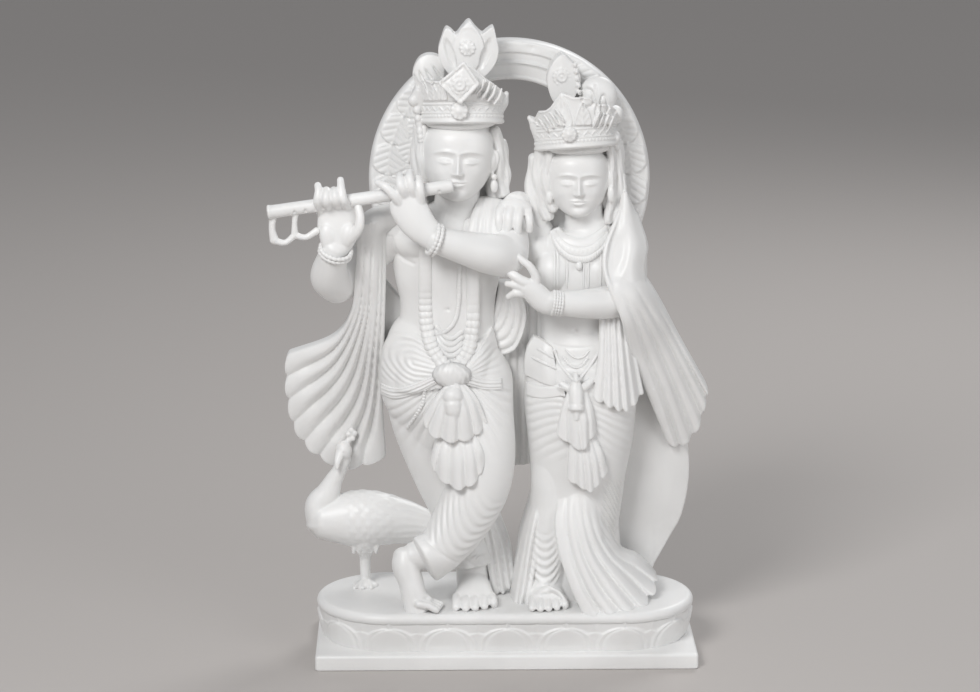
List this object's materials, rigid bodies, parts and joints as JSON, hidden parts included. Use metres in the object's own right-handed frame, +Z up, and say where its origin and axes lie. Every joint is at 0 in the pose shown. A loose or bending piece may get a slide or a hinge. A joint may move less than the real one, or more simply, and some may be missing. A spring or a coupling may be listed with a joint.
{
  "type": "radha krishna statue",
  "caption": "White marble devotional group on a lotus plinth: a standing flute player and his consort before a round halo, with a peacock at his side.",
  "frame": {"origin": "centre of the underside of the rectangular slab", "axes": "+Z up to the tip of the flute player's crest, -Y towards the viewer (the faces look that way), +X to the viewer's right, along the long side of the slab"},
  "size_m": [0.4198, 0.16, 0.6101],
  "materials": {
    "white_marble": "soft polished white marble"
  },
  "bodies": {
    "root": {"radha_krishna_statue": "white_marble"}
  },
  "joints": []
}
